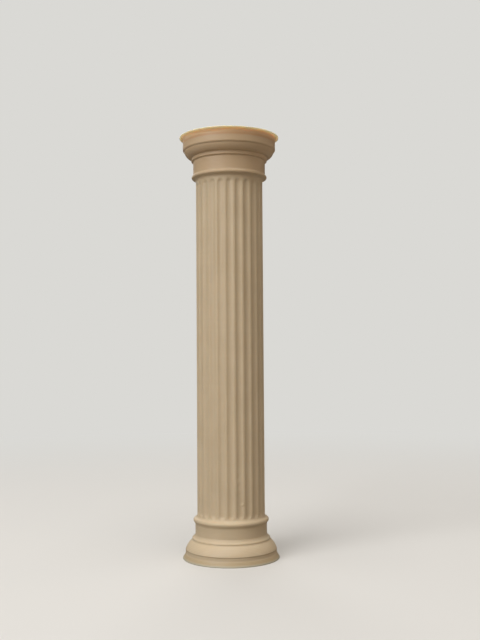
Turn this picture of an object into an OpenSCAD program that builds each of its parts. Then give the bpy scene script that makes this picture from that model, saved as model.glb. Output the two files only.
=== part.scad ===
// Fluted model column: a small ornament printed in one piece of beige plastic.
//
// The column stands on its base with its axis on Z and its underside on Z = 0.
// Sizes are in millimetres. The mouldings of the base are stacked up from the floor and those of
// the capital are stacked down from the top, and both are traced inwards until they meet the shaft.
// A bulge is how far an arc stands off its own chord.

/* [Overall] */
// Height from the floor to the flat top
column_h = 200; // [150:1:260]
// Diameter of the shaft over its lands
shaft_d = 32.1; // [24:0.1:44]

/* [Flutes] */
// Number of flutes round the shaft
flute_count = 24; // [12:1:28]
// Width of a flute at the face of the shaft
flute_w = 3.2; // [2:0.1:3.9]
// Depth of a flute below the face of the shaft
flute_depth = 0.6; // [0.3:0.05:1.2]
// Plain shaft between the base and the foot of the flutes
flute_foot_gap = 0.2; // [0.2:0.1:10]
// Plain shaft between the head of the flutes and the capital
flute_head_gap = 1.5; // [0.5:0.1:10]

/* [Base plinth] */
// Height of the upright edge at the floor
base_rim_h = 0.3; // [0.2:0.1:4]
// How far the floor edge stands out beyond the fascia
base_rim_lip = 1.3; // [0.3:0.1:4]
// Height of the hollow cove above the floor edge
base_cove_h = 2.4; // [0.5:0.1:6]
// Hollow of that cove
base_cove_bulge = 0.1; // [0.05:0.05:0.5]
// Height of the fascia above the cove
base_fascia_h = 1.4; // [0.5:0.1:6]
// How far the ovolo overhangs the fascia
base_brow = 0.1; // [0.1:0.05:1]

/* [Base ovolo and fillet] */
// Height of the rounded ovolo
base_ovolo_h = 4.3; // [1.5:0.1:8]
// Width of the ovolo from its foot to its head
base_ovolo_w = 2.8; // [1:0.1:6]
// Swell of the ovolo
base_ovolo_bulge = 0.35; // [0.1:0.05:0.8]
// Height of the chamfer between ovolo and fillet
base_quirk_h = 0.4; // [0.1:0.1:1]
// Width of the chamfer between ovolo and fillet
base_quirk_w = 0.4; // [0.1:0.1:1]
// Height of the upright fillet
base_fillet_h = 0.8; // [0.3:0.1:3]
// Height of the splay from the fillet up to the drum
base_splay_h = 1.7; // [0.3:0.1:4]
// Width of the splay, which is how far the fillet stands out beyond the drum
base_splay_w = 1.45; // [0.5:0.1:4]
// Hollow of the splay
base_splay_bulge = 0.2; // [0.05:0.05:0.4]

/* [Base drum and ring] */
// How far the drum stands out beyond the shaft
base_drum_out = 0.9; // [0.3:0.1:4]
// Height of the plain drum
base_drum_h = 4.5; // [2:0.1:15]
// Height of the ring's flare, next to the drum
base_flare_h = 1.3; // [0.4:0.1:3]
// How far the flare spreads beyond the drum
base_flare_w = 0.65; // [0.2:0.05:2]
// Hollow of the flare
base_flare_bulge = 0.15; // [0.05:0.05:0.3]
// Height of the ring's rounded bead
base_bead_h = 1.8; // [0.6:0.1:4]
// How far the bead draws in from the flare to the cove
base_bead_in = 0.35; // [0.1:0.05:1]
// Swell of the bead
base_bead_bulge = 0.4; // [0.1:0.05:0.7]
// Height of the hollow between the bead and the shaft
base_neck_cove_h = 1.1; // [0.3:0.1:3]
// Hollow of that cove
base_neck_cove_bulge = 0.2; // [0.05:0.05:0.3]

/* [Capital crown] */
// Height of the upright edge at the top
cap_rim_h = 0.3; // [0.2:0.1:4]
// How far the top edge stands out beyond the fascia
cap_rim_lip = 1.6; // [0.3:0.1:4]
// Height of the hollow cove under the top edge
cap_cove_h = 1.7; // [0.5:0.1:6]
// Hollow of that cove
cap_cove_bulge = 0.35; // [0.05:0.05:0.5]
// Height of the fascia under the cove
cap_fascia_h = 3.7; // [0.5:0.1:8]
// Height of the rounded lower edge of the fascia
cap_brow_h = 1.0; // [0.3:0.1:3]
// How far the fascia overhangs the ovolo
cap_brow = 0.65; // [0.2:0.05:2]
// Swell of the rounded lower edge
cap_brow_bulge = 0.25; // [0.05:0.05:0.4]

/* [Capital ovolo and fillet] */
// Height of the rounded ovolo
cap_ovolo_h = 3.0; // [1.5:0.1:8]
// Width of the ovolo from its head to its foot
cap_ovolo_w = 2.4; // [1:0.1:6]
// Swell of the ovolo
cap_ovolo_bulge = 0.5; // [0.1:0.05:0.9]
// Height of the chamfer between ovolo and fillet
cap_quirk_h = 0.2; // [0.1:0.1:1]
// Width of the chamfer between ovolo and fillet
cap_quirk_w = 1.0; // [0.1:0.1:1.2]
// Height of the upright fillet
cap_fillet_h = 1.5; // [0.3:0.1:3]
// Height of the splay from the fillet down to the neck
cap_splay_h = 0.4; // [0.3:0.1:4]
// Width of the splay, which is how far the fillet stands out beyond the neck
cap_splay_w = 0.9; // [0.5:0.1:4]

/* [Capital neck and ring] */
// How far the neck stands out beyond the shaft
cap_drum_out = 1.25; // [0.3:0.05:4]
// Height of the plain neck
cap_drum_h = 6.0; // [2:0.1:15]
// Height of the ring's flare, next to the neck
cap_flare_h = 1.0; // [0.4:0.1:3]
// How far the flare spreads beyond the neck
cap_flare_w = 0.6; // [0.2:0.05:2]
// Hollow of the flare
cap_flare_bulge = 0.15; // [0.05:0.05:0.3]
// Height of the ring's rounded bead
cap_bead_h = 1.3; // [0.6:0.1:4]
// How far the bead draws in from the flare to the cove
cap_bead_in = 0.45; // [0.1:0.05:1]
// Swell of the bead
cap_bead_bulge = 0.4; // [0.1:0.05:0.6]
// Height of the hollow between the bead and the shaft
cap_neck_cove_h = 0.9; // [0.3:0.1:3]
// Hollow of that cove
cap_neck_cove_bulge = 0.2; // [0.05:0.05:0.3]

/* [Hidden] */
$fn = 96;

// Straight pieces that stand for one arc of a moulding
arc_steps = 8;
shaft_r = shaft_d / 2;
// How far a flute cutter stands out of the shaft
cutter_proud = 0.3;
// Space kept between two cutters, over the middle of a land
cutter_gap = 0.1;
cutter_w = 2 * shaft_r * sin(180 / flute_count) - cutter_gap;

// Each move is [change of radius, change of height, bulge], from the outer rim to the shaft.
// A bulge above 0 swells outwards, one below 0 is hollow, and 0 is a straight line.
base_moves = [
    [0, base_rim_h, 0],
    [-base_rim_lip, base_cove_h, -base_cove_bulge],
    [0, base_fascia_h, 0],
    [base_brow, 0, 0],
    [-base_ovolo_w, base_ovolo_h, base_ovolo_bulge],
    [-base_quirk_w, base_quirk_h, 0],
    [0, base_fillet_h, 0],
    [-base_splay_w, base_splay_h, -base_splay_bulge],
    [0, base_drum_h, 0],
    [base_flare_w, base_flare_h, -base_flare_bulge],
    [-base_bead_in, base_bead_h, base_bead_bulge],
    [base_bead_in - base_flare_w - base_drum_out, base_neck_cove_h, -base_neck_cove_bulge]
];
cap_moves = [
    [0, cap_rim_h, 0],
    [-cap_rim_lip, cap_cove_h, -cap_cove_bulge],
    [0, cap_fascia_h, 0],
    [-cap_brow, cap_brow_h, cap_brow_bulge],
    [-cap_ovolo_w, cap_ovolo_h, cap_ovolo_bulge],
    [-cap_quirk_w, cap_quirk_h, 0],
    [0, cap_fillet_h, 0],
    [-cap_splay_w, cap_splay_h, 0],
    [0, cap_drum_h, 0],
    [cap_flare_w, cap_flare_h, -cap_flare_bulge],
    [-cap_bead_in, cap_bead_h, cap_bead_bulge],
    [cap_bead_in - cap_flare_w - cap_drum_out, cap_neck_cove_h, -cap_neck_cove_bulge]
];

// Sum of one column of a list of moves, up to but not including the move at index count
function total(moves, axis, count) = count == 0 ? 0 : moves[count - 1][axis] + total(moves, axis, count - 1);

// Points after p along a straight line or an arc to q
function stretch_points(p, q, bulge) =
    bulge == 0 ? [q] :
    let (
        chord = norm(q - p),
        along = (q - p) / chord,
        outwards = [along[1], -along[0]] * sign(bulge),
        half_angle = 2 * atan(2 * abs(bulge) / chord),
        arc_r = chord / (2 * sin(half_angle))
    )
    [
        for (i = [1 : arc_steps])
            let (angle = half_angle * (2 * i / arc_steps - 1))
            (p + q) / 2 + along * arc_r * sin(angle) + outwards * arc_r * (cos(angle) - cos(half_angle))
    ];

// Outline of one end of the column, from its outer rim at height 0 to the shaft
function end_outline(moves) =
    let (
        rim_r = shaft_r - total(moves, 0, len(moves)),
        corners = [for (i = [0 : len(moves)]) [rim_r + total(moves, 0, i), total(moves, 1, i)]]
    )
    [
        corners[0],
        for (i = [0 : len(moves) - 1])
            each stretch_points(corners[i], corners[i + 1], moves[i][2])
    ];

base_h = total(base_moves, 1, len(base_moves));
cap_h = total(cap_moves, 1, len(cap_moves));
base_outline = end_outline(base_moves);
cap_outline = end_outline(cap_moves);

// Half section of the whole column, before it is fluted
column_outline = [
    [0, 0],
    each base_outline,
    for (i = [len(cap_outline) - 1 : -1 : 0]) [cap_outline[i][0], column_h - cap_outline[i][1]],
    [0, column_h]
];

// The cutter's section is the circle through the flute's two arrises and its bottom
arris_r = sqrt(shaft_r * shaft_r - flute_w * flute_w / 4);
flute_sagitta = arris_r - (shaft_r - flute_depth);
flute_r = (flute_w * flute_w / 4 + flute_sagitta * flute_sagitta) / (2 * flute_sagitta);
flute_axis_r = shaft_r - flute_depth + flute_r;
flute_foot_z = base_h + flute_foot_gap + flute_w / 2;
flute_head_z = column_h - cap_h - flute_head_gap - flute_w / 2;

// One round-ended flute. Its section is centred on Z and its bottom faces +Y.
module flute_bar() {
    translate([0, 0, flute_foot_z])
        cylinder(h = flute_head_z - flute_foot_z, r = flute_r);
    translate([0, 0, flute_foot_z])
        sphere(r = flute_r);
    translate([0, 0, flute_head_z])
        sphere(r = flute_r);
}

// The flute bar, trimmed outside the face of the shaft so that neighbouring cutters stay apart
module flute_cutter() {
    intersection() {
        flute_bar();
        translate([-cutter_w / 2, flute_r - flute_depth - cutter_proud, flute_foot_z - flute_r])
            cube([cutter_w, flute_depth + 2 * cutter_proud, flute_head_z - flute_foot_z + 2 * flute_r]);
    }
}

// The whole column: base, fluted shaft and capital in one piece
module column() {
    color("#cbb691")
    difference() {
        rotate_extrude()
            polygon(column_outline);
        for (i = [0 : flute_count - 1])
            rotate([0, 0, 360 * i / flute_count])
                translate([0, -flute_axis_r, 0])
                    flute_cutter();
    }
}

column();
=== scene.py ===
import logging
import math
from dataclasses import dataclass, field
from enum import Enum

import bmesh
import bpy
from mathutils import Matrix, Vector, noise


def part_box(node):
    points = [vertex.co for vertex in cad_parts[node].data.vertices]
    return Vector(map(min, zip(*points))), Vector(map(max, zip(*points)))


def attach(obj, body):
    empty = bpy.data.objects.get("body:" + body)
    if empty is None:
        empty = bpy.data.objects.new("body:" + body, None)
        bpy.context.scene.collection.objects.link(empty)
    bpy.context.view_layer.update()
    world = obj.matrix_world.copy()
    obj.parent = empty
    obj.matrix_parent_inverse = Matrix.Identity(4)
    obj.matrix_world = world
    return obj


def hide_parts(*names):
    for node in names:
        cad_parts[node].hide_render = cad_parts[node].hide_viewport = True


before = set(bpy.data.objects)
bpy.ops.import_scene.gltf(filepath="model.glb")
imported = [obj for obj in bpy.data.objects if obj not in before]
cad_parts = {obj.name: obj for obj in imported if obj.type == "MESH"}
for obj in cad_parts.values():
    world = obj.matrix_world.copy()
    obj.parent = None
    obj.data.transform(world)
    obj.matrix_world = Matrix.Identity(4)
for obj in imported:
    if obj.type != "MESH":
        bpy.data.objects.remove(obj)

log = logging.getLogger("fluted_column")

MM = 0.001
NODE = "column"
BODY = "root"
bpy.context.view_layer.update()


# ---------------------------------------------------------------- colour and nodes


# The sRGB curve is a straight line up to its knee, and a power above it.
CHANNEL_TOP = 255
SRGB_KNEE = 0.04045
SRGB_SLOPE = 12.92
SRGB_OFFSET = 0.055
SRGB_POWER = 2.4

# The Mix node has a pair of inputs for each type, all with the same names, so they go by number.
MIX_SHARE = 0
MIX_COLOUR_A, MIX_COLOUR_B, MIX_COLOUR_OUT = 6, 7, 2
MIX_FLOAT_A, MIX_FLOAT_B, MIX_FLOAT_OUT = 2, 3, 0

# Metres from crest to crest in the Wave texture at a scale of 1: along an axis, and in Diagonal
# bands along the diagonal of a level face.
AXIS_WAVE = math.pi / 10
DIAGONAL_WAVE = math.pi / 5 / math.sqrt(2)


def linear_channel(value: float) -> float:
    """Turn one sRGB channel, from 0 to 1, into a linear one."""
    if value <= SRGB_KNEE:
        return value / SRGB_SLOPE
    return ((value + SRGB_OFFSET) / (1 + SRGB_OFFSET)) ** SRGB_POWER


def linear_colour(hex_code: str) -> tuple[float, float, float, float]:
    """Turn an sRGB hex colour into the linear colour that Blender's sockets hold.

    Args:
        hex_code: six hex digits, such as "cdb694".

    Returns:
        Red, green, blue and an alpha of 1.
    """
    red, green, blue = (int(hex_code[i:i + 2], 16) / CHANNEL_TOP for i in (0, 2, 4))
    return (linear_channel(red), linear_channel(green), linear_channel(blue), 1.0)


def add_node(
    tree: bpy.types.NodeTree,
    kind: str,
    settings: dict[str, object] | None = None,
    inputs: dict[str | int, object] | None = None,
) -> bpy.types.Node:
    """Add one node, set it and link it.

    Args:
        tree: the node tree that gets the node.
        kind: the node's type name, such as "ShaderNodeBump".
        settings: attributes of the node itself.
        inputs: a plain value or an output socket to link, for each input's name or index.

    Returns:
        The new node.
    """
    node = tree.nodes.new(kind)
    for name, value in (settings or {}).items():
        setattr(node, name, value)
    for name, value in (inputs or {}).items():
        if isinstance(value, bpy.types.NodeSocket):
            tree.links.new(value, node.inputs[name])
        else:
            node.inputs[name].default_value = value
    return node


def new_material(name: str) -> tuple[bpy.types.Material, bpy.types.NodeTree, bpy.types.Node]:
    """Make a material with an empty node tree and its output.

    Args:
        name: the material's name.

    Returns:
        The material, its node tree and its output node.
    """
    material = bpy.data.materials.new(name)
    material.use_nodes = True
    tree = material.node_tree
    tree.nodes.clear()
    return material, tree, add_node(tree, "ShaderNodeOutputMaterial")


# ---------------------------------------------------------------- finishes


class Gauge(Enum):
    """What the soft edge of a zone is measured along."""

    FLOOR = "mm above the floor"
    TOP = "mm above the flat top, so below 0 on the column"
    RIM = "mm out beyond the rim, so below 0 on the column"
    MOTTLE = "strength of the mottle's noise"


@dataclass(frozen=True)
class SoftEdge:
    """Where one zone of the surface fades in: none of it shows at start, and all of it at end."""

    gauge: Gauge
    start: float
    end: float


@dataclass(frozen=True)
class PrintedPlastic:
    """Beige PLA, laid down by a nozzle in thin rings.

    It gives a soft satin sheen, faint uneven rings round the column, and a warm glow where the wall
    is thin, from light that goes into it. Painted light is laid into its colour as well: a warm
    glow on the capital, the crown and the lip, shade on the lowest 3 mm of the base, a pale
    highlight on the top face and edge, and a greyer line, a painted reflection, where the first
    layers were pressed on to the bed.
    """

    base_hex: str = "ccb899"
    pale_hex: str = "d0bc9d"
    # Painted warm glow: the capital is tinted warmer, as light passing through the plastic near the top would
    # make it.
    capital_painted_glow_hex: str = "c9ae8c"
    # Painted shade: the lowest 3 mm of the base are darker and warmer.
    skirt_painted_shade_hex: str = "b9a482"
    # Painted reflection: a greyer line along the foot, where the first layers were pressed on to the bed.
    foot_painted_reflection_hex: str = "b6ae98"
    # Painted warm glow: the cove under the rim is tinted orange, as light coming through the thin lip makes
    # it.
    crown_painted_glow_hex: str = "caa078"
    # Painted glow: the thin lip is paler and orange, as light coming through it makes it. Its subsurface glow
    # is real light as well.
    lip_painted_glow_hex: str = "ecd0a4"
    # Painted highlight: the top face and the top edge of the rim are paler, as the overhead light makes them.
    lid_painted_highlight_hex: str = "ecdcc0"

    pale_edge: SoftEdge = SoftEdge(Gauge.MOTTLE, 0.35, 0.65)
    # Where the capital's painted warm glow fades in.
    capital_painted_glow_edge: SoftEdge = SoftEdge(Gauge.TOP, -24.0, -16.0)
    # Where the crown's painted orange glow fades in, below the rim.
    crown_painted_glow_edge: SoftEdge = SoftEdge(Gauge.TOP, -3.8, -2.8)
    # Where the skirt's painted shade fades in, towards the floor.
    skirt_painted_shade_edge: SoftEdge = SoftEdge(Gauge.FLOOR, 3.0, 1.6)
    # Where the foot's painted reflection fades in.
    foot_painted_reflection_edge: SoftEdge = SoftEdge(Gauge.FLOOR, 1.2, 0.3)
    # Where the lid's painted highlight fades in.
    lid_painted_highlight_edge: SoftEdge = SoftEdge(Gauge.TOP, -1.2, -0.3)
    # The lip is what lies both near the top and near the rim.
    near_top_edge: SoftEdge = SoftEdge(Gauge.TOP, -3.1, -1.2)
    near_rim_edge: SoftEdge = SoftEdge(Gauge.RIM, -4.0, -1.6)

    roughness: float = 0.5
    roughness_spread: float = 0.05
    # How much light goes into the plastic, and how deep in mm: little in the body, more in the thin lip.
    body_glow: float = 0.4
    body_depth: float = 1.2
    lip_glow: float = 1.0
    lip_depth: float = 2.0
    # Red light goes furthest through the plastic, then green, then blue.
    glow_reach: tuple[float, float, float] = (1.0, 0.8, 0.6)

    # The uneven rings are a noise drawn out sideways, so many times as far as up the column.
    band_mm: float = 1.6
    band_stretch: float = 60.0
    band_detail: float = 2.0
    # The darkest ring keeps this share of the colour.
    band_shade: float = 0.985
    mottle_mm: float = 12.0
    mottle_detail: float = 3.0
    # Nearly all of a noise lies between these two strengths.
    noise_low: float = 0.3
    noise_high: float = 0.7

    # A real layer is 0.2 mm. It is drawn three times as coarse, so that it can show at all.
    layer_mm: float = 0.6
    stroke_mm: float = 0.8
    stroke_wobble: float = 0.4
    # Heights of the strokes and of the uneven rings, where a layer's height is 1.
    stroke_height: float = 4.0
    band_height: float = 2.5
    relief_mm: float = 0.03
    relief_strength: float = 0.6
    # A point this near to either end, in mm, is on its flat face.
    face_mm: float = 0.02

    def build(self, height_mm: float, rim_mm: float) -> bpy.types.Material:
        """Make the material.

        Args:
            height_mm: height of the column, whose top lip is thin and glows.
            rim_mm: radius of that lip.

        Returns:
            The finished material.
        """
        material, tree, output = new_material("printed_beige_pla")
        place = add_node(tree, "ShaderNodeTexCoord").outputs["Object"]
        parts = add_node(tree, "ShaderNodeSeparateXYZ", inputs={0: place})
        height = parts.outputs["Z"]
        flat = add_node(tree, "ShaderNodeCombineXYZ", inputs={
            "X": parts.outputs["X"], "Y": parts.outputs["Y"],
        })
        radius = add_node(tree, "ShaderNodeVectorMath", {"operation": "LENGTH"}, {
            0: flat.outputs[0],
        }).outputs["Value"]
        stretched = add_node(tree, "ShaderNodeMapping", inputs={
            0: place, "Scale": (1.0, 1.0, self.band_stretch),
        })
        bands = add_node(tree, "ShaderNodeTexNoise", inputs={
            "Vector": stretched.outputs[0],
            "Scale": 1 / (self.band_stretch * self.band_mm * MM),
            "Detail": self.band_detail,
        }).outputs["Fac"]
        mottle = add_node(tree, "ShaderNodeTexNoise", inputs={
            "Vector": place, "Scale": 1 / (self.mottle_mm * MM), "Detail": self.mottle_detail,
        }).outputs["Fac"]

        shares = self.zone_shares(tree, {
            Gauge.FLOOR: (height, 0.0, MM),
            Gauge.TOP: (height, height_mm, MM),
            Gauge.RIM: (radius, rim_mm, MM),
            Gauge.MOTTLE: (mottle, 0.0, 1.0),
        })
        lip = add_node(tree, "ShaderNodeMath", {"operation": "MULTIPLY"}, {
            0: shares[self.near_top_edge], 1: shares[self.near_rim_edge],
        }).outputs[0]
        satin = add_node(tree, "ShaderNodeMapRange", inputs={
            "Value": mottle, "From Min": self.noise_low, "From Max": self.noise_high,
            "To Min": self.roughness - self.roughness_spread,
            "To Max": self.roughness + self.roughness_spread,
        }).outputs[0]
        glow = add_node(tree, "ShaderNodeMapRange", inputs={
            "Value": lip, "To Min": self.body_glow, "To Max": self.lip_glow,
        }).outputs[0]
        depth = add_node(tree, "ShaderNodeMapRange", inputs={
            "Value": lip, "To Min": self.body_depth * MM, "To Max": self.lip_depth * MM,
        }).outputs[0]
        shader = add_node(tree, "ShaderNodeBsdfPrincipled", inputs={
            "Base Color": self.colour(tree, shares, lip, bands),
            "Roughness": satin,
            "Subsurface Weight": glow,
            "Subsurface Radius": self.glow_reach,
            "Subsurface Scale": depth,
            "Normal": self.relief(tree, place, height, bands, height_mm),
        })
        tree.links.new(shader.outputs[0], output.inputs["Surface"])
        return material

    def zone_shares(
        self, tree: bpy.types.NodeTree, gauges: dict[Gauge, tuple[bpy.types.NodeSocket, float, float]],
    ) -> dict[SoftEdge, bpy.types.NodeSocket]:
        """Work out how much of each zone shows at a point.

        Args:
            tree: the material's node tree.
            gauges: for each gauge its socket, its zero in mm, and the size of its unit in the socket.

        Returns:
            For each soft edge, the socket that rises smoothly from 0 at its start to 1 at its end.
        """
        edges = (
            self.pale_edge, self.capital_painted_glow_edge, self.crown_painted_glow_edge, self.skirt_painted_shade_edge,
            self.foot_painted_reflection_edge, self.lid_painted_highlight_edge, self.near_top_edge, self.near_rim_edge,
        )
        shares = {}
        for edge in edges:
            value, zero, unit = gauges[edge.gauge]
            falling = edge.start > edge.end
            shares[edge] = add_node(tree, "ShaderNodeMapRange", {"interpolation_type": "SMOOTHSTEP"}, {
                "Value": value,
                "From Min": (zero + min(edge.start, edge.end)) * unit,
                "From Max": (zero + max(edge.start, edge.end)) * unit,
                "To Min": 1.0 if falling else 0.0,
                "To Max": 0.0 if falling else 1.0,
            }).outputs[0]
        return shares

    def colour(
        self, tree: bpy.types.NodeTree, shares: dict[SoftEdge, bpy.types.NodeSocket],
        lip: bpy.types.NodeSocket, bands: bpy.types.NodeSocket,
    ) -> bpy.types.NodeSocket:
        """Mottle the body's two beiges, shade them by the rings, and lay over them the painted light of each
        zone: a glow, a shade, a reflection and a highlight.

        Args:
            tree: the material's node tree.
            shares: how much of each zone shows.
            lip: how much of the lip shows.
            bands: the uneven rings.

        Returns:
            The socket that holds the colour.
        """
        body = add_node(tree, "ShaderNodeMix", {"data_type": "RGBA"}, {
            MIX_SHARE: shares[self.pale_edge],
            MIX_COLOUR_A: linear_colour(self.base_hex), MIX_COLOUR_B: linear_colour(self.pale_hex),
        }).outputs[MIX_COLOUR_OUT]
        shade = add_node(tree, "ShaderNodeMapRange", inputs={
            "Value": bands, "From Min": self.noise_low, "From Max": self.noise_high,
            "To Min": self.band_shade, "To Max": 1.0,
        }).outputs[0]
        colour = add_node(tree, "ShaderNodeVectorMath", {"operation": "SCALE"}, {
            0: body, "Scale": shade,
        }).outputs[0]
        # Each zone paints light into the colour: a warm glow on the capital, the crown and the lip, shade on
        # the skirt, a reflection at the foot and a highlight on the lid.
        zones = (
            (shares[self.capital_painted_glow_edge], self.capital_painted_glow_hex),
            (shares[self.crown_painted_glow_edge], self.crown_painted_glow_hex),
            (shares[self.skirt_painted_shade_edge], self.skirt_painted_shade_hex),
            (shares[self.foot_painted_reflection_edge], self.foot_painted_reflection_hex),
            (lip, self.lip_painted_glow_hex),
            (shares[self.lid_painted_highlight_edge], self.lid_painted_highlight_hex),
        )
        for share, hex_code in zones:
            colour = add_node(tree, "ShaderNodeMix", {"data_type": "RGBA"}, {
                MIX_SHARE: share, MIX_COLOUR_A: colour, MIX_COLOUR_B: linear_colour(hex_code),
            }).outputs[MIX_COLOUR_OUT]
        return colour

    def relief(
        self, tree: bpy.types.NodeTree, place: bpy.types.NodeSocket, height: bpy.types.NodeSocket,
        bands: bpy.types.NodeSocket, height_mm: float,
    ) -> bpy.types.NodeSocket:
        """Raise the layers on the sides and the nozzle's strokes on the two flat ends.

        Args:
            tree: the material's node tree.
            place: the Object coordinates.
            height: their Z.
            bands: the uneven rings, which also wave the surface.
            height_mm: height of the column.

        Returns:
            The bumped normal.
        """
        rings = add_node(tree, "ShaderNodeTexWave", {"wave_type": "BANDS", "bands_direction": "Z"}, {
            "Vector": place, "Scale": AXIS_WAVE / (self.layer_mm * MM),
        }).outputs["Fac"]
        strokes = add_node(tree, "ShaderNodeTexWave", {"wave_type": "BANDS", "bands_direction": "DIAGONAL"}, {
            "Vector": place, "Scale": DIAGONAL_WAVE / (self.stroke_mm * MM),
            "Distortion": self.stroke_wobble,
        }).outputs["Fac"]
        deep = add_node(tree, "ShaderNodeMath", {"operation": "MULTIPLY"}, {
            0: strokes, 1: self.stroke_height,
        })
        uneven = add_node(tree, "ShaderNodeMath", {"operation": "MULTIPLY_ADD"}, {
            0: bands, 1: self.band_height, 2: rings,
        })
        top = add_node(tree, "ShaderNodeMath", {"operation": "GREATER_THAN"}, {
            0: height, 1: (height_mm - self.face_mm) * MM,
        })
        bottom = add_node(tree, "ShaderNodeMath", {"operation": "LESS_THAN"}, {
            0: height, 1: self.face_mm * MM,
        })
        ends = add_node(tree, "ShaderNodeMath", {"operation": "MAXIMUM"}, {
            0: top.outputs[0], 1: bottom.outputs[0],
        })
        surface = add_node(tree, "ShaderNodeMix", {"data_type": "FLOAT"}, {
            MIX_SHARE: ends.outputs[0], MIX_FLOAT_A: uneven.outputs[0], MIX_FLOAT_B: deep.outputs[0],
        })
        return add_node(tree, "ShaderNodeBump", inputs={
            "Strength": self.relief_strength, "Distance": self.relief_mm * MM,
            "Height": surface.outputs[MIX_FLOAT_OUT],
        }).outputs[0]


@dataclass(frozen=True)
class StudioSweep:
    """Matte paper, pale to the eye, that throws little light back up at the object.

    Far from the column, where the lamps fade, it keeps the same paleness. That sets in at
    lit_reach and is complete at far_reach, in metres from the column's foot.
    """

    seen_hex: str = "dcdad6"
    far_hex: str = "dad9d5"
    bounce_hex: str = "8a8680"
    lit_reach: float = 0.12
    far_reach: float = 0.7

    def build(self) -> bpy.types.Material:
        """Make the material.

        Returns:
            The finished material.
        """
        material, tree, output = new_material("pale_studio_sweep")
        place = add_node(tree, "ShaderNodeTexCoord").outputs["Object"]
        reach = add_node(tree, "ShaderNodeVectorMath", {"operation": "LENGTH"}, {0: place}).outputs["Value"]
        share = add_node(tree, "ShaderNodeMapRange", {"interpolation_type": "SMOOTHSTEP"}, {
            "Value": reach, "From Min": self.lit_reach, "From Max": self.far_reach,
        }).outputs[0]
        seen = add_node(tree, "ShaderNodeBsdfDiffuse", inputs={"Color": linear_colour(self.seen_hex)})
        far = add_node(tree, "ShaderNodeEmission", inputs={"Color": linear_colour(self.far_hex)})
        paper = add_node(tree, "ShaderNodeMixShader", inputs={
            0: share, 1: seen.outputs[0], 2: far.outputs[0],
        })
        bounce = add_node(tree, "ShaderNodeBsdfDiffuse", inputs={"Color": linear_colour(self.bounce_hex)})
        rays = add_node(tree, "ShaderNodeLightPath")
        mix = add_node(tree, "ShaderNodeMixShader", inputs={
            0: rays.outputs["Is Camera Ray"], 1: bounce.outputs[0], 2: paper.outputs[0],
        })
        tree.links.new(mix.outputs[0], output.inputs["Surface"])
        return material


# ---------------------------------------------------------------- the turned outline


@dataclass(frozen=True)
class Stretch:
    """One stretch of a moulding, traced from the outer rim in to the shaft. Sizes in mm."""

    run: float
    rise: float
    bulge: float = 0.0


@dataclass(frozen=True)
class EndMouldings:
    """Sizes of the mouldings at one end, in mm, from the outer rim in to the shaft."""

    rim_h: float
    rim_lip: float
    cove_h: float
    cove_bulge: float
    fascia_h: float
    brow: float
    brow_h: float
    brow_bulge: float
    ovolo_h: float
    ovolo_w: float
    ovolo_bulge: float
    quirk_h: float
    quirk_w: float
    fillet_h: float
    splay_h: float
    splay_w: float
    splay_bulge: float
    drum_out: float
    drum_h: float
    flare_h: float
    flare_w: float
    flare_bulge: float
    bead_h: float
    bead_in: float
    bead_bulge: float
    neck_cove_h: float
    neck_cove_bulge: float

    def stretches(self) -> list[Stretch]:
        """List the stretches of the outline.

        Returns:
            The stretches in order, from the rim to the shaft.
        """
        last_run = self.bead_in - self.flare_w - self.drum_out
        return [
            Stretch(0, self.rim_h),
            Stretch(-self.rim_lip, self.cove_h, -self.cove_bulge),
            Stretch(0, self.fascia_h),
            Stretch(self.brow, self.brow_h, self.brow_bulge),
            Stretch(-self.ovolo_w, self.ovolo_h, self.ovolo_bulge),
            Stretch(-self.quirk_w, self.quirk_h),
            Stretch(0, self.fillet_h),
            Stretch(-self.splay_w, self.splay_h, -self.splay_bulge),
            Stretch(0, self.drum_h),
            Stretch(self.flare_w, self.flare_h, -self.flare_bulge),
            Stretch(-self.bead_in, self.bead_h, self.bead_bulge),
            Stretch(last_run, self.neck_cove_h, -self.neck_cove_bulge),
        ]

    def height(self) -> float:
        """Height of the whole end, from its rim to the start of the plain shaft."""
        return sum(stretch.rise for stretch in self.stretches())

    def spread(self) -> float:
        """How far the outer rim stands out beyond the shaft."""
        return -sum(stretch.run for stretch in self.stretches())


BASE = EndMouldings(
    rim_h=0.3, rim_lip=1.3, cove_h=2.4, cove_bulge=0.1, fascia_h=1.4, brow=0.1, brow_h=0,
    brow_bulge=0, ovolo_h=4.3, ovolo_w=2.8, ovolo_bulge=0.35, quirk_h=0.4, quirk_w=0.4,
    fillet_h=0.8, splay_h=1.7, splay_w=1.45, splay_bulge=0.2, drum_out=0.9, drum_h=4.5, flare_h=1.3,
    flare_w=0.65, flare_bulge=0.15, bead_h=1.8, bead_in=0.35, bead_bulge=0.4, neck_cove_h=1.1,
    neck_cove_bulge=0.2,
)
CAPITAL = EndMouldings(
    rim_h=0.3, rim_lip=1.6, cove_h=1.7, cove_bulge=0.35, fascia_h=3.7, brow=-0.65, brow_h=1.0,
    brow_bulge=0.25, ovolo_h=3.0, ovolo_w=2.4, ovolo_bulge=0.5, quirk_h=0.2, quirk_w=1.0,
    fillet_h=1.5, splay_h=0.4, splay_w=0.9, splay_bulge=0, drum_out=1.25, drum_h=6.0, flare_h=1.0,
    flare_w=0.6, flare_bulge=0.15, bead_h=1.3, bead_in=0.45, bead_bulge=0.4, neck_cove_h=0.9,
    neck_cove_bulge=0.2,
)


# ---------------------------------------------------------------- flutes


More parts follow.
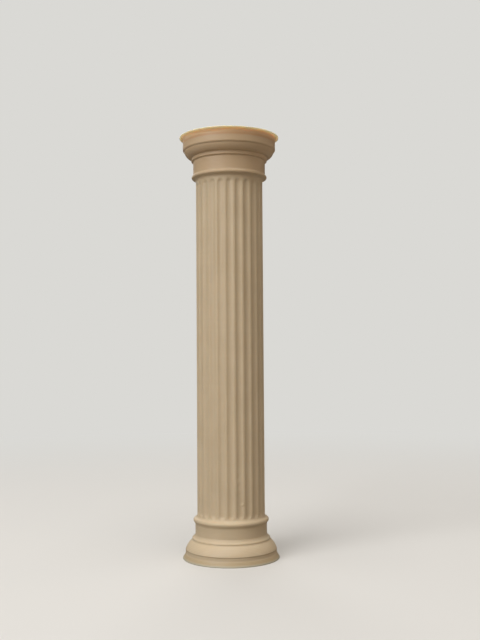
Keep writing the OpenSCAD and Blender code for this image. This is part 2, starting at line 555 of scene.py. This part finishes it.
@dataclass(frozen=True)
class Fluting:
    """The round-bottomed, round-ended grooves of the shaft. Sizes in mm."""

    shaft_r: float
    foot_z: float
    head_z: float
    count: int = 24
    width: float = 3.2
    depth: float = 0.6
    arris_ease: float = 0.1
    # How far the nozzle wanders at an arris, and over what length of the arris.
    wander: float = 0.06
    wander_length: float = 4.0
    # How far the noise moves on in a radian round the column, and from a flute's middle to an arris.
    flute_stride: float = 9.1
    side_stride: float = 1.7
    # How far in from a flute's end the mesh still bends round it, as a share of the flute's width.
    settle_share: float = 0.75

    @property
    def pitch(self) -> float:
        """Angle from one flute to the next, in radians."""
        return 2 * math.pi / self.count

    @property
    def half_angle(self) -> float:
        """Half the angle that one flute takes at the face of the shaft, in radians."""
        return math.asin(self.width / 2 / self.shaft_r)

    @property
    def settle(self) -> float:
        """How far in from a flute's end the mesh still bends round it, in mm."""
        return self.width * self.settle_share

    @property
    def section_r(self) -> float:
        """Radius of the circle through a flute's two arrises and its bottom."""
        sagitta = self.shaft_r * math.cos(self.half_angle) - (self.shaft_r - self.depth)
        return (self.width ** 2 / 4 + sagitta ** 2) / (2 * sagitta)

    def surface_r(self, angle: float, z: float) -> float:
        """Radius of the fluted surface.

        Args:
            angle: angle from the middle of the nearest flute, in radians.
            z: height in mm.

        Returns:
            Distance from the column's axis, in mm, with the arris eased.
        """
        centre_r = self.shaft_r - self.depth + self.section_r
        past_end = max(self.foot_z + self.width / 2 - z, z - (self.head_z - self.width / 2), 0.0)
        reach = self.section_r ** 2 - past_end ** 2 - (centre_r * math.sin(angle)) ** 2
        if reach <= 0:
            return self.shaft_r
        groove_r = centre_r * math.cos(angle) - math.sqrt(reach)
        gap = groove_r - self.shaft_r
        return self.shaft_r + (gap - math.sqrt(gap * gap + self.arris_ease ** 2)) / 2

    def drift(self, centre: float, column: float, z: float) -> float:
        """How far the nozzle wandered sideways at one arris.

        Args:
            centre: bearing of the flute's middle, in radians.
            column: place across the flute, below 0 on one side and above on the other.
            z: height in mm.

        Returns:
            A small angle in radians.
        """
        side = math.copysign(self.side_stride, column) if column else 0.0
        spot = Vector((centre * self.flute_stride, side, z / self.wander_length))
        return self.wander / self.shaft_r * noise.noise(spot)

    def end_drop(self, angle: float) -> float:
        """How far a flute's rounded end reaches past the start of its round, in mm."""
        across = self.shaft_r * math.sin(min(abs(angle), self.half_angle))
        return math.sqrt(max(self.width ** 2 / 4 - across ** 2, 0.0))


# ---------------------------------------------------------------- print marks


class MarkKind(Enum):
    """What the nozzle left on the surface."""

    BLOB = "raised"
    PIT = "sunk"
    RIPPLE = "raised and sunk by turns"


@dataclass(frozen=True)
class PrintMark:
    """One small flaw of the print. Sizes in mm, and the bearing in degrees from the front to the right.

    Wide and high are the reach of its swell, and depth is its height or depth at the middle. Its
    patch of finer mesh reaches patch_times as far, plus patch_margin.
    """

    kind: MarkKind
    bearing: float
    z: float
    wide: float
    high: float
    depth: float
    ripple: float = 4.2
    patch_times: float = 2.2
    patch_margin: float = 0.3

    def window(self, size: float) -> float:
        """Half the patch that a mark needs in one direction, from its size in that direction."""
        return self.patch_times * size + self.patch_margin

    def reaches(self, bearing: float, low: float, high: float, radius: float) -> bool:
        """Tell whether a stretch of the surface lies in the mark's patch.

        Args:
            bearing: degrees from the front to the right.
            low: the stretch's lowest height in mm.
            high: its highest.
            radius: its distance from the axis in mm.

        Returns:
            True where the mark may change it.
        """
        across = math.radians(bearing - self.bearing) * radius
        above, below = self.z + self.window(self.high), self.z - self.window(self.high)
        return abs(across) < self.window(self.wide) and low < above and high > below

    def rise(self, bearing: float, z: float, radius: float) -> float:
        """How far the surface stands out at a place.

        Args:
            bearing: degrees from the front to the right.
            z: height in mm.
            radius: the place's distance from the axis in mm.

        Returns:
            Millimetres, below 0 for a pit.
        """
        across = math.radians(bearing - self.bearing) * radius / self.wide
        along = (z - self.z) / self.high
        swell = self.depth * math.exp(-(across ** 2) - along ** 2)
        if self.kind is MarkKind.RIPPLE:
            return swell * math.sin(2 * math.pi * (z - self.z) / self.ripple)
        return swell if self.kind is MarkKind.BLOB else -swell


# Each has its kind, bearing, height on the column, width, height of its own, and depth.
PRINT_MARKS = (
    PrintMark(MarkKind.BLOB, 19.7, 26.8, 0.5, 0.6, 0.28),
    PrintMark(MarkKind.PIT, 17.8, 25.7, 0.35, 0.35, 0.15),
    PrintMark(MarkKind.RIPPLE, 12.4, 36.0, 0.8, 6.0, 0.14),
    PrintMark(MarkKind.PIT, -39.3, 41.8, 0.6, 0.25, 0.15),
    PrintMark(MarkKind.BLOB, -36.0, 43.8, 0.7, 0.6, 0.1),
    PrintMark(MarkKind.PIT, -16.7, 46.7, 0.5, 0.25, 0.15),
    PrintMark(MarkKind.BLOB, 58.5, 22.4, 0.3, 0.35, 0.2),
    PrintMark(MarkKind.BLOB, 67.0, 21.3, 0.3, 0.3, 0.2),
    PrintMark(MarkKind.PIT, -48.3, 187.3, 0.35, 0.35, 0.15),
)


# ---------------------------------------------------------------- the column


@dataclass
class FlutedColumn:
    """The whole column, turned in one piece and then fluted. Sizes in mm."""

    height: float
    rim_r: float
    # Plain shaft below the foot of the flutes, and above their head.
    foot_gap: float = 0.2
    head_gap: float = 1.5
    # Mesh columns in one pitch, and those of them that cross the flute.
    columns_per_flute: int = 14
    flute_columns: int = 10
    # Longest step on an arc, and fewest steps.
    arc_step: float = 0.42
    arc_fewest: int = 4
    # A straight stretch of more than so many holds has a row one hold in from each end, to keep its
    # corners crisp, and its other rows are no longer than longest_row.
    hold: float = 0.16
    fewest_holds: float = 4.0
    longest_row: float = 2.5
    # Rows in the plain bands beyond the flutes, in a flute's rounded end, and in its straight run.
    band_rows: int = 3
    scoop_rows: int = 8
    run_rows: int = 18
    # The tallest row through a print mark, and the fewest rows in the mark's own height.
    mark_row: float = 0.5
    mark_rows: float = 2.5
    # A cut this near to a vertex goes through it, and points this near are merged.
    cut_snap: float = 0.008
    merge: float = 1e-5
    base: EndMouldings = BASE
    capital: EndMouldings = CAPITAL
    shaft_r: float = field(init=False)
    fluting: Fluting = field(init=False)

    def __post_init__(self) -> None:
        """Work the shaft and its flutes out from the two ends."""
        self.shaft_r = self.rim_r - self.capital.spread()
        self.fluting = Fluting(
            shaft_r=self.shaft_r,
            foot_z=self.base.height() + self.foot_gap,
            head_z=self.height - self.capital.height() - self.head_gap,
        )

    def trace(
        self, bm: bmesh.types.BMesh, tip: bmesh.types.BMVert, stretch: Stretch,
    ) -> bmesh.types.BMVert:
        """Draw one stretch of the outline upwards from its tip.

        Args:
            bm: the mesh that holds the outline, in the plane of X and Z.
            tip: the outline's last point.
            stretch: what to draw.

        Returns:
            The outline's new last point.
        """
        end = tip.co + Vector((stretch.run, 0, stretch.rise))
        if (end - tip.co).length == 0:
            return tip
        if stretch.bulge:
            return self.trace_arc(bm, tip, end, stretch.bulge)
        return self.trace_line(bm, tip, end)

    def trace_arc(
        self, bm: bmesh.types.BMesh, tip: bmesh.types.BMVert, end: Vector, bulge: float,
    ) -> bmesh.types.BMVert:
        """Spin the outline's tip along an arc.

        Args:
            bm: the mesh that holds the outline.
            tip: the outline's last point.
            end: where the arc ends.
            bulge: how far it stands off its chord, above 0 outwards and below 0 inwards.

        Returns:
            The outline's new last point.
        """
        start = tip.co.copy()
        chord = (end - start).length
        half = 2 * math.atan(2 * abs(bulge) / chord)
        arc_r = chord / (2 * math.sin(half))
        along = (end - start) / chord
        outwards = Vector((along.z, 0, -along.x)) * math.copysign(1, bulge)
        centre = (start + end) / 2 - outwards * arc_r * math.cos(half)
        turn = (start - centre).cross(end - centre).y
        steps = max(self.arc_fewest, round(2 * half * arc_r / self.arc_step))
        made = bmesh.ops.spin(
            bm, geom=[tip], cent=centre, axis=(0, 1, 0), angle=math.copysign(2 * half, turn),
            steps=steps, use_duplicate=False,
        )
        return next(part for part in made["geom_last"] if isinstance(part, bmesh.types.BMVert))

    def trace_line(
        self, bm: bmesh.types.BMesh, tip: bmesh.types.BMVert, end: Vector,
    ) -> bmesh.types.BMVert:
        """Extrude the outline's tip along a straight line, with a row close to each end.

        Args:
            bm: the mesh that holds the outline.
            tip: the outline's last point.
            end: where the line ends.

        Returns:
            The outline's new last point.
        """
        start = tip.co.copy()
        chord = (end - start).length
        rows = [chord]
        if chord > self.fewest_holds * self.hold:
            between = chord - 2 * self.hold
            middle = max(1, math.ceil(between / self.longest_row))
            rows = [self.hold + between * i / middle for i in range(middle + 1)] + [chord]
        for row in rows:
            made = bmesh.ops.extrude_vert_indiv(bm, verts=[tip])
            tip = made["verts"][0]
            tip.co = start.lerp(end, row / chord)
        return tip

    def build(self) -> bpy.types.Object:
        """Turn, flute and finish the column.

        Returns:
            The finished mesh object.
        """
        bm = bmesh.new()
        self.turn(bm)
        self.carve(bm)
        for mark in PRINT_MARKS:
            self.leave(bm, mark)
        bmesh.ops.transform(bm, matrix=Matrix.Scale(MM, 4), verts=bm.verts)
        bmesh.ops.recalc_face_normals(bm, faces=bm.faces)
        for face in bm.faces:
            face.smooth = True
        mesh = bpy.data.meshes.new("printed_column")
        bm.to_mesh(mesh)
        bm.free()
        piece = bpy.data.objects.new("printed_column", mesh)
        bpy.context.scene.collection.objects.link(piece)
        return piece

    def turn(self, bm: bmesh.types.BMesh) -> None:
        """Draw the half outline and spin it round the axis.

        Args:
            bm: the empty mesh that gets it, in mm.
        """
        tip = bm.verts.new((0, 0, 0))
        tip = self.trace(bm, tip, Stretch(self.shaft_r + self.base.spread(), 0))
        for stretch in self.base.stretches():
            tip = self.trace(bm, tip, stretch)
        tip = self.trace_shaft(bm, tip)
        for stretch in reversed(self.capital.stretches()):
            tip = self.trace(bm, tip, Stretch(-stretch.run, stretch.rise, stretch.bulge))
        self.trace(bm, tip, Stretch(-self.rim_r, 0))
        outline = list(bm.verts) + list(bm.edges)
        bmesh.ops.spin(
            bm, geom=outline, cent=(0, 0, 0), axis=(0, 0, 1), angle=2 * math.pi,
            steps=self.fluting.count * self.columns_per_flute, use_merge=True, use_duplicate=False,
        )
        bmesh.ops.remove_doubles(bm, verts=bm.verts, dist=self.merge)

    def trace_shaft(self, bm: bmesh.types.BMesh, tip: bmesh.types.BMVert) -> bmesh.types.BMVert:
        """Draw the plain side of the shaft, with close rows at the ends of the flutes.

        Args:
            bm: the mesh that holds the outline.
            tip: the outline's last point, at the foot of the shaft.

        Returns:
            The outline's new last point, at the head of the shaft.
        """
        start_z = tip.co.z
        end_z = self.height - self.capital.height()
        foot, head = self.fluting.foot_z, self.fluting.head_z
        settle = self.fluting.settle
        band, scoop, run = self.band_rows, self.scoop_rows, self.run_rows
        rows = [start_z + (foot - start_z) * (i + 1) / band for i in range(band)]
        rows += [foot + settle * (i + 1) / scoop for i in range(scoop)]
        plain = head - foot - 2 * settle
        rows += [foot + settle + plain * (i + 1) / run for i in range(run)]
        rows += [head - settle + settle * (i + 1) / scoop for i in range(scoop)]
        rows += [head + (end_z - head) * (i + 1) / band for i in range(band)]
        for z in rows:
            made = bmesh.ops.extrude_vert_indiv(bm, verts=[tip])
            tip = made["verts"][0]
            tip.co = Vector((self.shaft_r, 0, z))
        return tip

    def laid_angle(self, column: float) -> float:
        """Find where one mesh column is laid, so that two of them follow the flute's arrises.

        Args:
            column: its place in the pitch, in columns from the flute's middle.

        Returns:
            Its angle from the flute's middle, in radians.
        """
        flutes = self.fluting
        half_flute = self.flute_columns / 2
        if abs(column) <= half_flute:
            across = flutes.width / 2 * math.sin(math.pi / 2 * column / half_flute)
            return math.asin(across / flutes.shaft_r)
        share = (abs(column) - half_flute) / (self.columns_per_flute / 2 - half_flute)
        land = share * (flutes.pitch / 2 - flutes.half_angle)
        return math.copysign(flutes.half_angle + land, column)

    def carve(self, bm: bmesh.types.BMesh) -> None:
        """Sink the flutes into the shaft, with the mesh lines laid along every arris.

        Args:
            bm: the turned column, in mm.
        """
        flutes = self.fluting
        start_z = self.base.height()
        end_z = self.height - self.capital.height()
        middle = (start_z + end_z) / 2
        for vert in bm.verts:
            z = vert.co.z
            if not start_z < z < end_z:
                continue
            angle = math.atan2(vert.co.y, vert.co.x)
            centre = round(angle / flutes.pitch) * flutes.pitch
            column = (angle - centre) / flutes.pitch * self.columns_per_flute
            laid = self.laid_angle(column)
            drop = flutes.width / 2 - flutes.end_drop(laid)
            flip = 1 if z < middle else -1
            end = flutes.foot_z if flip > 0 else flutes.head_z
            edge = start_z if flip > 0 else end_z
            past = (z - end) * flip
            share = 1.0
            if past < 0:
                share = (z - edge) / (end - edge)
                z = edge + (end + flip * drop - edge) * share
            elif past < flutes.settle:
                z += flip * drop * (1 - past / flutes.settle)
            turned = centre + (angle - centre) * (1 - share) + laid * share
            radius = flutes.surface_r(turned - centre, z)
            turned += flutes.drift(centre, column, z) * share
            vert.co = Vector((radius * math.cos(turned), radius * math.sin(turned), z))

    def leave(self, bm: bmesh.types.BMesh, mark: PrintMark) -> None:
        """Mesh the surface more finely round one print mark, and press the mark into it.

        Args:
            bm: the carved column, in mm.
            mark: the mark to leave.
        """
        def bearing(co: Vector) -> float:
            """Degrees from the front to the right."""
            return math.degrees(math.atan2(co.x, -co.y))

        cells = set()
        for face in bm.faces:
            heights = [vert.co.z for vert in face.verts]
            if mark.reaches(bearing(face.calc_center_median()), min(heights), max(heights), self.shaft_r):
                cells.add(face)
        half = mark.window(mark.high)
        rows = math.ceil(2 * half / min(self.mark_row, mark.high / self.mark_rows))
        for i in range(rows + 1):
            geom = list(cells | {edge for face in cells for edge in face.edges})
            cut = bmesh.ops.bisect_plane(
                bm, geom=geom, dist=self.cut_snap, plane_no=(0, 0, 1),
                plane_co=(0, 0, mark.z + half * (2 * i / rows - 1)),
            )
            cells |= {part for part in cut["geom"] if isinstance(part, bmesh.types.BMFace)}
        for vert in {vert for face in cells for vert in face.verts}:
            turn = bearing(vert.co)
            radius = math.hypot(vert.co.x, vert.co.y)
            swollen = (radius + mark.rise(turn, vert.co.z, radius)) / radius
            vert.co.x *= swollen
            vert.co.y *= swollen


# ---------------------------------------------------------------- studio


@dataclass(frozen=True)
class SoftBox:
    """A square soft box that is aimed at the column's middle. Sizes in metres, and angles in degrees.

    Azimuth goes to the right from the viewer's side of the column, and elevation up from the horizon.
    """

    name: str
    azimuth: float
    elevation: float
    distance: float
    size: float
    watts: float
    tone_hex: str = "ffffff"

    def hang(self, target: Vector) -> None:
        """Hang the lamp, out of the camera's sight.

        Args:
            target: the point it is aimed at.
        """
        lamp = bpy.data.lights.new(self.name, "AREA")
        lamp.size = self.size
        lamp.energy = self.watts
        lamp.color = linear_colour(self.tone_hex)[:3]
        holder = bpy.data.objects.new(self.name, lamp)
        turn, lift = math.radians(self.azimuth), math.radians(self.elevation)
        spot = Vector((math.sin(turn) * math.cos(lift), -math.cos(turn) * math.cos(lift), math.sin(lift)))
        holder.location = target + spot * self.distance
        holder.rotation_euler = (-spot).to_track_quat("-Z", "Y").to_euler()
        holder.visible_camera = False
        bpy.context.scene.collection.objects.link(holder)


# Large soft boxes stand on the left and overhead, and weaker ones on the right and behind.
WARM_HEX = "ffe6c8"
SOFT_BOXES = (
    SoftBox("key_left", azimuth=-42, elevation=29, distance=1.8, size=1.2, watts=18.8),
    SoftBox("overhead", azimuth=-10, elevation=76, distance=1.7, size=1.2, watts=17.1),
    SoftBox("fill_right", azimuth=45, elevation=12, distance=1.5, size=0.8, watts=1.8, tone_hex=WARM_HEX),
    SoftBox("rim_right", azimuth=108, elevation=12, distance=1.5, size=0.6, watts=1.3, tone_hex=WARM_HEX),
    SoftBox("back_soft", azimuth=185, elevation=30, distance=1.8, size=1.2, watts=9),
)


@dataclass
class Studio:
    """The pale sweep, the soft lamps, the room and the camera. Sizes in metres."""

    column_h: float
    # The floor is square, and curves up behind the column in a quarter of a circle.
    floor_half: float = 3.0
    floor_curve_r: float = 2.0
    floor_curve_steps: int = 24
    # Points nearer to the floor's back edge than this are on it.
    touching: float = 1e-6
    room_hex: str = "f2e9dc"
    room_strength: float = 0.2
    # Focal length as a share of the picture's longer side, which is as long as the sensor.
    focal_share: float = 1.349375
    sensor_mm: float = 36.0
    clip_start: float = 0.01
    # Distance and height of the camera, as shares of the column's height.
    distance_share: float = 2.0671
    eye_share: float = 0.4675
    tilt_deg: float = 2.585
    swing_deg: float = 0.665
    roll_deg: float = -0.381

    def build(self) -> None:
        """Set the floor, the lamps, the world and the camera."""
        self.set_floor()
        for box in SOFT_BOXES:
            box.hang(Vector((0, 0, self.column_h / 2)))
        self.set_world()
        self.set_camera()

    def set_floor(self) -> None:
        """Lay a wide floor that curves up behind the column."""
        bm = bmesh.new()
        bmesh.ops.create_grid(bm, x_segments=2, y_segments=2, size=self.floor_half)
        back = [
            edge for edge in bm.edges
            if all(abs(vert.co.y - self.floor_half) < self.touching for vert in edge.verts)
        ]
        bmesh.ops.spin(
            bm, geom=back, cent=(0, self.floor_half, self.floor_curve_r), axis=(1, 0, 0),
            angle=math.pi / 2, steps=self.floor_curve_steps,
        )
        bmesh.ops.recalc_face_normals(bm, faces=bm.faces)
        for face in bm.faces:
            face.smooth = True
        mesh = bpy.data.meshes.new("sweep")
        bm.to_mesh(mesh)
        bm.free()
        floor = bpy.data.objects.new("sweep", mesh)
        bpy.context.scene.collection.objects.link(floor)
        mesh.materials.append(StudioSweep().build())

    def set_world(self) -> None:
        """Fill the room with a little even light, and keep its walls pale to the eye."""
        world = bpy.data.worlds.new("room")
        world.use_nodes = True
        tree = world.node_tree
        tree.nodes.clear()
        light = add_node(tree, "ShaderNodeBackground", inputs={
            "Color": linear_colour(self.room_hex), "Strength": self.room_strength,
        })
        walls = add_node(tree, "ShaderNodeBackground", inputs={"Color": linear_colour(StudioSweep.far_hex)})
        rays = add_node(tree, "ShaderNodeLightPath")
        mix = add_node(tree, "ShaderNodeMixShader", inputs={
            0: rays.outputs["Is Camera Ray"], 1: light.outputs[0], 2: walls.outputs[0],
        })
        output = add_node(tree, "ShaderNodeOutputWorld")
        tree.links.new(mix.outputs[0], output.inputs["Surface"])
        bpy.context.scene.world = world

    def set_camera(self) -> None:
        """Stand the camera a little under half the column's height, looking slightly up."""
        camera = bpy.data.cameras.new("camera")
        camera.sensor_width = self.sensor_mm
        camera.lens = self.sensor_mm * self.focal_share
        camera.clip_start = self.clip_start
        holder = bpy.data.objects.new("camera", camera)
        holder.location = (0, -self.distance_share * self.column_h, self.eye_share * self.column_h)
        level = Matrix.Rotation(math.pi / 2 + math.radians(self.tilt_deg), 4, "X")
        swing = Matrix.Rotation(-math.radians(self.swing_deg), 4, "Z")
        roll = Matrix.Rotation(math.radians(self.roll_deg), 4, "Z")
        holder.rotation_euler = (swing @ level @ roll).to_euler()
        bpy.context.scene.collection.objects.link(holder)
        bpy.context.scene.camera = holder


# ---------------------------------------------------------------- putting it together


def main() -> None:
    """Build the column and its studio, and report each piece."""
    logging.basicConfig(level=logging.INFO, format="%(name)s: %(message)s")
    scene = bpy.context.scene
    scene.view_settings.view_transform = "Standard"
    low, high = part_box(NODE)
    column = FlutedColumn(height=(high[2] - low[2]) / MM, rim_r=(high[0] - low[0]) / 2 / MM)
    piece = column.build()
    piece.data.materials.append(PrintedPlastic().build(column.height, column.rim_r))
    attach(piece, BODY)
    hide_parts(NODE)
    log.info("%s: %d faces", piece.name, len(piece.data.polygons))
    Studio(column_h=high[2] - low[2]).build()


if __name__ == "__main__":
    main()
